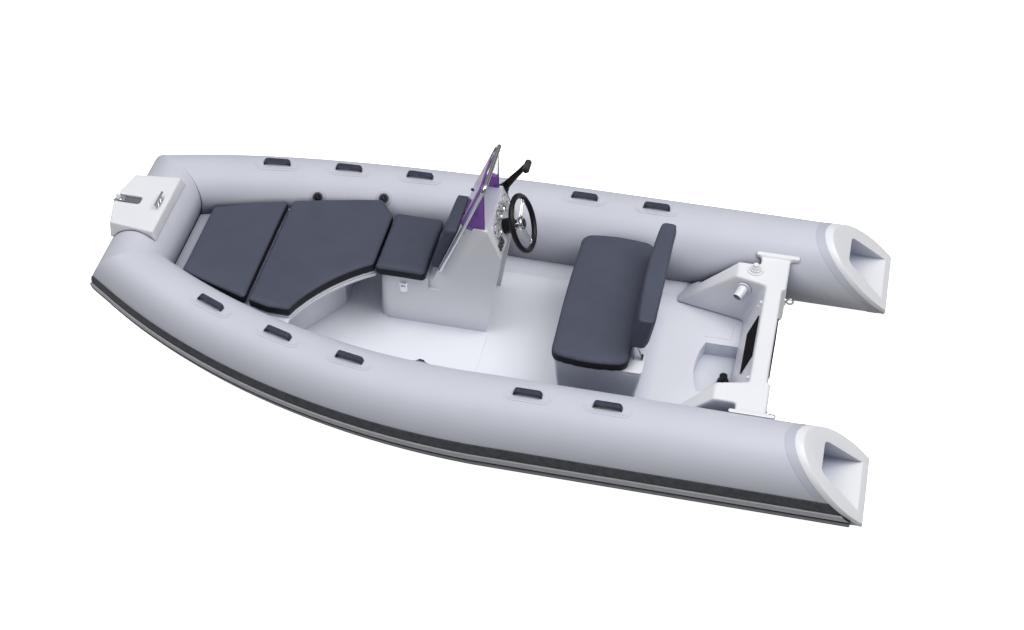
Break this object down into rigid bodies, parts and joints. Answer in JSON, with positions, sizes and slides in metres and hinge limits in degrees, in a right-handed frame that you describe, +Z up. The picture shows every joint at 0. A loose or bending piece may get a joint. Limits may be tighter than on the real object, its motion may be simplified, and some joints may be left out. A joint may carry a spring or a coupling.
{
  "type": "inflatable rib boat",
  "caption": "Rigid inflatable boat with an inflated collar, moulded hull, offset steering console, helm seat with folding backrest and padded bow locker.",
  "frame": {"origin": "on the centre line at the waterline, amidships", "axes": "+X towards the bow, +Y to port, +Z up"},
  "size_m": [4.182, 2, 1.258],
  "materials": {
    "collar": "coated fabric, satin",
    "strake": "matt",
    "cap": "satin",
    "handle": "matt",
    "handle_pad": "satin",
    "valve": "satin",
    "gelcoat": "gloss",
    "upholstery": "satin",
    "steel": "polished",
    "polished": "mirror",
    "black_plastic": "satin",
    "wheel_rim": "satin",
    "screen": "tinted acrylic",
    "dial": "gloss",
    "roller": "satin"
  },
  "bodies": {
    "boat": {"tube_port": "collar", "tube_starboard": "collar", "tube_bow": "collar", "cap_port": "cap", "cap_starboard": "cap", "strake_port": "strake", "strake_starboard": "strake", "strake_bow": "strake", "handle_pads_port": "handle_pad", "handle_pads_starboard": "handle_pad", "handles_port": "handle", "handles_starboard": "handle", "valves": "valve", "hull": "gelcoat", "deck": "gelcoat", "transom": "gelcoat", "engine_pads": "black_plastic", "console": "gelcoat", "console_backrest": "upholstery", "seat_latch": "steel", "windscreen": "screen", "screen_rail": "steel", "gauges": "dial", "switch_panel": "black_plastic", "throttle": "black_plastic", "steering_hub": "black_plastic", "helm_box": "gelcoat", "bow_locker": "gelcoat", "bow_pad_base": "gelcoat", "bow_cushion_aft": "upholstery", "bow_step": "gelcoat", "roller_bracket": "steel", "bow_cleat": "polished", "tow_eyes": "steel", "rigging_pipe": "steel", "rigging_boot": "black_plastic", "bilge_pump": "black_plastic"},
    "wheel": {"steering_wheel": "wheel_rim"},
    "roller": {"anchor_roller": "roller"},
    "bow_lid": {"bow_lid": "gelcoat", "bow_cushion_front": "upholstery"},
    "seat_lid": {"console_lid": "gelcoat", "console_cushion": "upholstery"},
    "helm_top": {"helm_lid": "gelcoat", "helm_cushion": "upholstery", "helm_brackets": "steel"},
    "helm_rest": {"helm_backrest": "upholstery", "helm_arms": "steel"}
  },
  "joints": [
    {"name": "wheel_turn", "type": "hinge", "parent": "boat", "child": "wheel", "pos_m": [-0.13848, -0.205, 0.68923], "axis": [-0.9281, 0, 0.3723], "range_deg": [-540, 540]},
    {"name": "roller_spin", "type": "hinge", "parent": "boat", "child": "roller", "pos_m": [2.064, 0, 0.63], "axis": [0, 1, 0], "continuous": true},
    {"name": "bow_hatch", "type": "hinge", "parent": "boat", "child": "bow_lid", "pos_m": [1.646, 0, 0.43], "axis": [0, 1, 0], "range_deg": [0, 60]},
    {"name": "seat_hatch", "type": "hinge", "parent": "boat", "child": "seat_lid", "pos_m": [0.45, -0.39, 0.358], "axis": [1, 0, 0], "range_deg": [0, 80]},
    {"name": "helm_hatch", "type": "hinge", "parent": "boat", "child": "helm_top", "pos_m": [-0.433, 0, 0.358], "axis": [0, 1, 0], "range_deg": [0, 75]},
    {"name": "backrest_fold", "type": "hinge", "parent": "helm_top", "child": "helm_rest", "pos_m": [-0.838, 0, 0.47], "axis": [0, 1, 0], "range_deg": [0, 80]}
  ]
}
